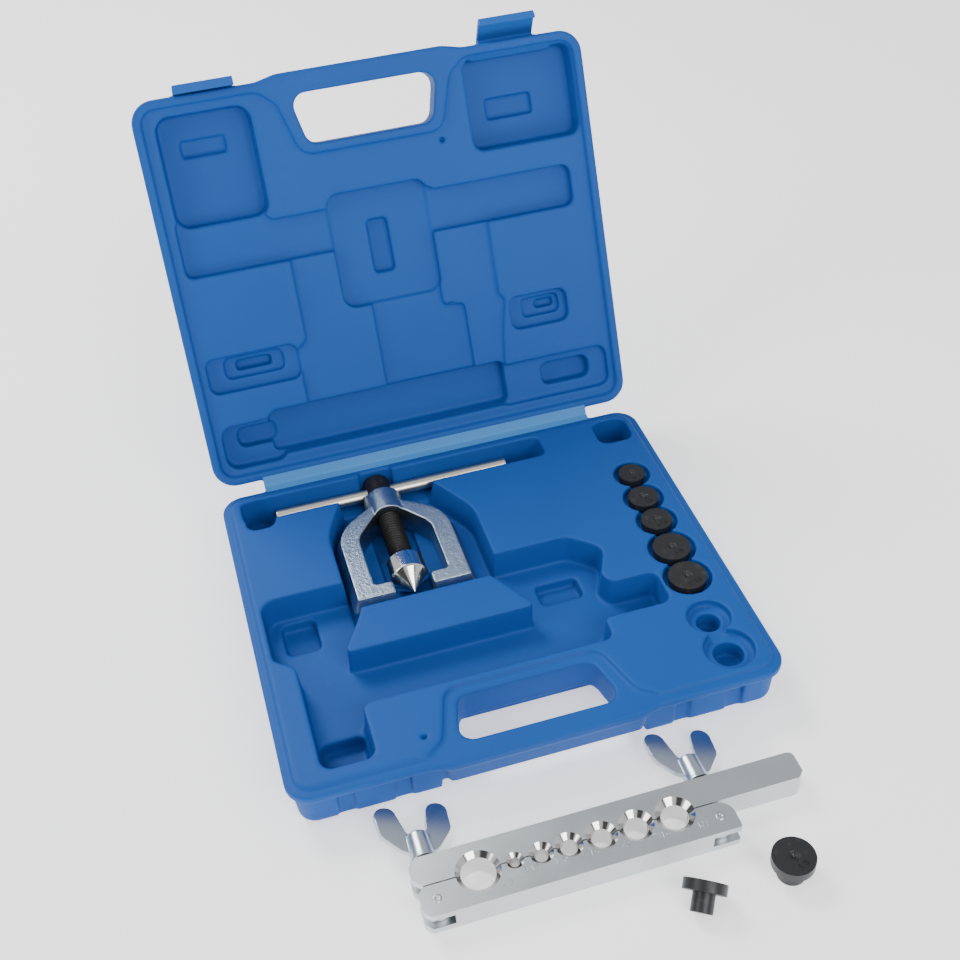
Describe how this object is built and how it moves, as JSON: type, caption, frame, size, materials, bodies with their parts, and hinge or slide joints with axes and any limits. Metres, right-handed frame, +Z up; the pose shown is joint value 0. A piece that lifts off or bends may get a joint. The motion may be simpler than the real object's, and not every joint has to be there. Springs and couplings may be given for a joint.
{
  "type": "flaring tool kit",
  "caption": "Tube flaring tool kit: yoke with screw and cone, split die bar with wing nuts, and stepped adapters in an open moulded carry case.",
  "frame": {"origin": "centre of the case's flat underside", "axes": "+X to the right along the case's front, +Y to the hinge at the back, +Z up"},
  "size_m": [0.244, 0.4145, 0.2339],
  "materials": {
    "case_plastic": "blow-moulded blue plastic, fine matt grain",
    "zinc_plate": "bright zinc plate over cast and rolled steel",
    "black_oxide": "black oxide, lightly oiled",
    "polished_steel": "ground and polished steel",
    "plain_steel": "drawn bar, bright with a warm tint"
  },
  "bodies": {
    "case": {"case_base": "case_plastic"},
    "lid": {"case_lid": "case_plastic"},
    "latch_left": {"latch_left": "case_plastic"},
    "latch_right": {"latch_right": "case_plastic"},
    "yoke": {"yoke": "zinc_plate"},
    "cone": {"flaring_cone": "polished_steel", "thrust_ball": "polished_steel", "cone_retaining_ring": "polished_steel"},
    "screw": {"feed_screw": "black_oxide"},
    "tee_bar": {"tee_bar": "plain_steel"},
    "bar_rear": {"die_bar_rear": "zinc_plate", "washer_right": "zinc_plate"},
    "bar_front": {"die_bar_front": "zinc_plate", "pivot_pin_left": "zinc_plate", "pivot_pin_right": "zinc_plate", "swing_bolt_right": "zinc_plate"},
    "bolt_left": {"swing_bolt_left": "zinc_plate"},
    "washer_left": {"washer_left": "zinc_plate"},
    "nut_left": {"wing_nut_left": "zinc_plate"},
    "nut_right": {"wing_nut_right": "zinc_plate"},
    "adapter_3_16": {"adapter_3_16": "black_oxide"},
    "adapter_1_4": {"adapter_1_4": "black_oxide"},
    "adapter_5_16": {"adapter_5_16": "black_oxide"},
    "adapter_3_8": {"adapter_3_8": "black_oxide"},
    "adapter_7_16": {"adapter_7_16": "black_oxide"},
    "adapter_1_2": {"adapter_1_2": "black_oxide"},
    "adapter_5_8": {"adapter_5_8": "black_oxide"}
  },
  "joints": [
    {"name": "lid_hinge", "type": "hinge", "parent": "case", "child": "lid", "pos_m": [0, 0.1091, 0.0261], "axis": [-1, 0, 0], "range_deg": [-113.5, 66.5]},
    {"name": "latch_left_hinge", "type": "hinge", "parent": "lid", "child": "latch_left", "pos_m": [-0.0825, 0.20305, 0.21708], "axis": [-1, 0, 0], "range_deg": [-8.5, 80]},
    {"name": "latch_right_hinge", "type": "hinge", "parent": "lid", "child": "latch_right", "pos_m": [0.0825, 0.20305, 0.21708], "axis": [-1, 0, 0], "range_deg": [-43, 45]},
    {"name": "yoke_lift", "type": "slide", "parent": "case", "child": "yoke", "axis": [0, 0, 1], "range_m": [0, 0.3]},
    {"name": "cone_feed", "type": "slide", "parent": "yoke", "child": "cone", "axis": [0, -1, 0], "range_m": [0, 0.0011]},
    {"name": "screw_turn", "type": "hinge", "parent": "cone", "child": "screw", "pos_m": [-0.0344, 0.09, 0.017], "axis": [0, 1, 0], "range_deg": [-1, 181]},
    {"name": "tee_slide", "type": "slide", "parent": "screw", "child": "tee_bar", "axis": [1, 0, 0], "range_m": [-0.014, 0.018]},
    {"name": "adapter_3_16_lift", "type": "slide", "parent": "case", "child": "adapter_3_16", "axis": [0, 0, 1], "range_m": [0, 0.1]},
    {"name": "adapter_1_4_lift", "type": "slide", "parent": "case", "child": "adapter_1_4", "axis": [0, 0, 1], "range_m": [0, 0.1]},
    {"name": "adapter_5_16_lift", "type": "slide", "parent": "case", "child": "adapter_5_16", "axis": [0, 0, 1], "range_m": [0, 0.1]},
    {"name": "adapter_3_8_lift", "type": "slide", "parent": "case", "child": "adapter_3_8", "axis": [0, 0, 1], "range_m": [0, 0.1]},
    {"name": "adapter_7_16_lift", "type": "slide", "parent": "case", "child": "adapter_7_16", "axis": [0, 0, 1], "range_m": [0, 0.1]},
    {"name": "adapter_1_2_lift", "type": "slide", "parent": "case", "child": "adapter_1_2", "axis": [0, 0, 1], "range_m": [0, 0.1]},
    {"name": "adapter_5_8_lift", "type": "slide", "parent": "case", "child": "adapter_5_8", "axis": [0, 0, 1], "range_m": [0, 0.1]},
    {"name": "bar_lift", "type": "slide", "parent": "case", "child": "bar_rear", "axis": [0, 0, 1], "range_m": [0, 0.3]},
    {"name": "clamp_open", "type": "slide", "parent": "bar_rear", "child": "bar_front", "axis": [0, -1, 0], "range_m": [0, 0.004]},
    {"name": "nut_right_turn", "type": "hinge", "parent": "bar_rear", "child": "nut_right", "pos_m": [0.0607, -0.1399, 0.0066], "axis": [0, 1, 0], "range_deg": [-2, 1140]},
    {"name": "swing_left", "type": "hinge", "parent": "bar_front", "child": "bolt_left", "pos_m": [-0.0698, -0.16285, 0.0066], "axis": [0, 0, 1], "range_deg": [0, 100]},
    {"name": "washer_left_slide", "type": "slide", "parent": "bolt_left", "child": "washer_left", "axis": [0, 1, 0], "range_m": [0, 0.0042]},
    {"name": "nut_left_turn", "type": "hinge", "parent": "washer_left", "child": "nut_left", "pos_m": [-0.0698, -0.1399, 0.0066], "axis": [0, 1, 0], "range_deg": [-2, 1140]}
  ],
  "couplings": [
    {"joint": "cone_feed", "follows": "yoke_lift", "ratio": 0.0033333},
    {"joint": "screw_turn", "follows": "yoke_lift", "rad_per_m": 10.472},
    {"joint": "washer_left_slide", "follows": "clamp_open", "ratio": 1},
    {"joint": "nut_right_turn", "follows": "clamp_open", "rad_per_m": 4947.4},
    {"joint": "nut_left_turn", "follows": "clamp_open", "rad_per_m": 4947.4}
  ]
}
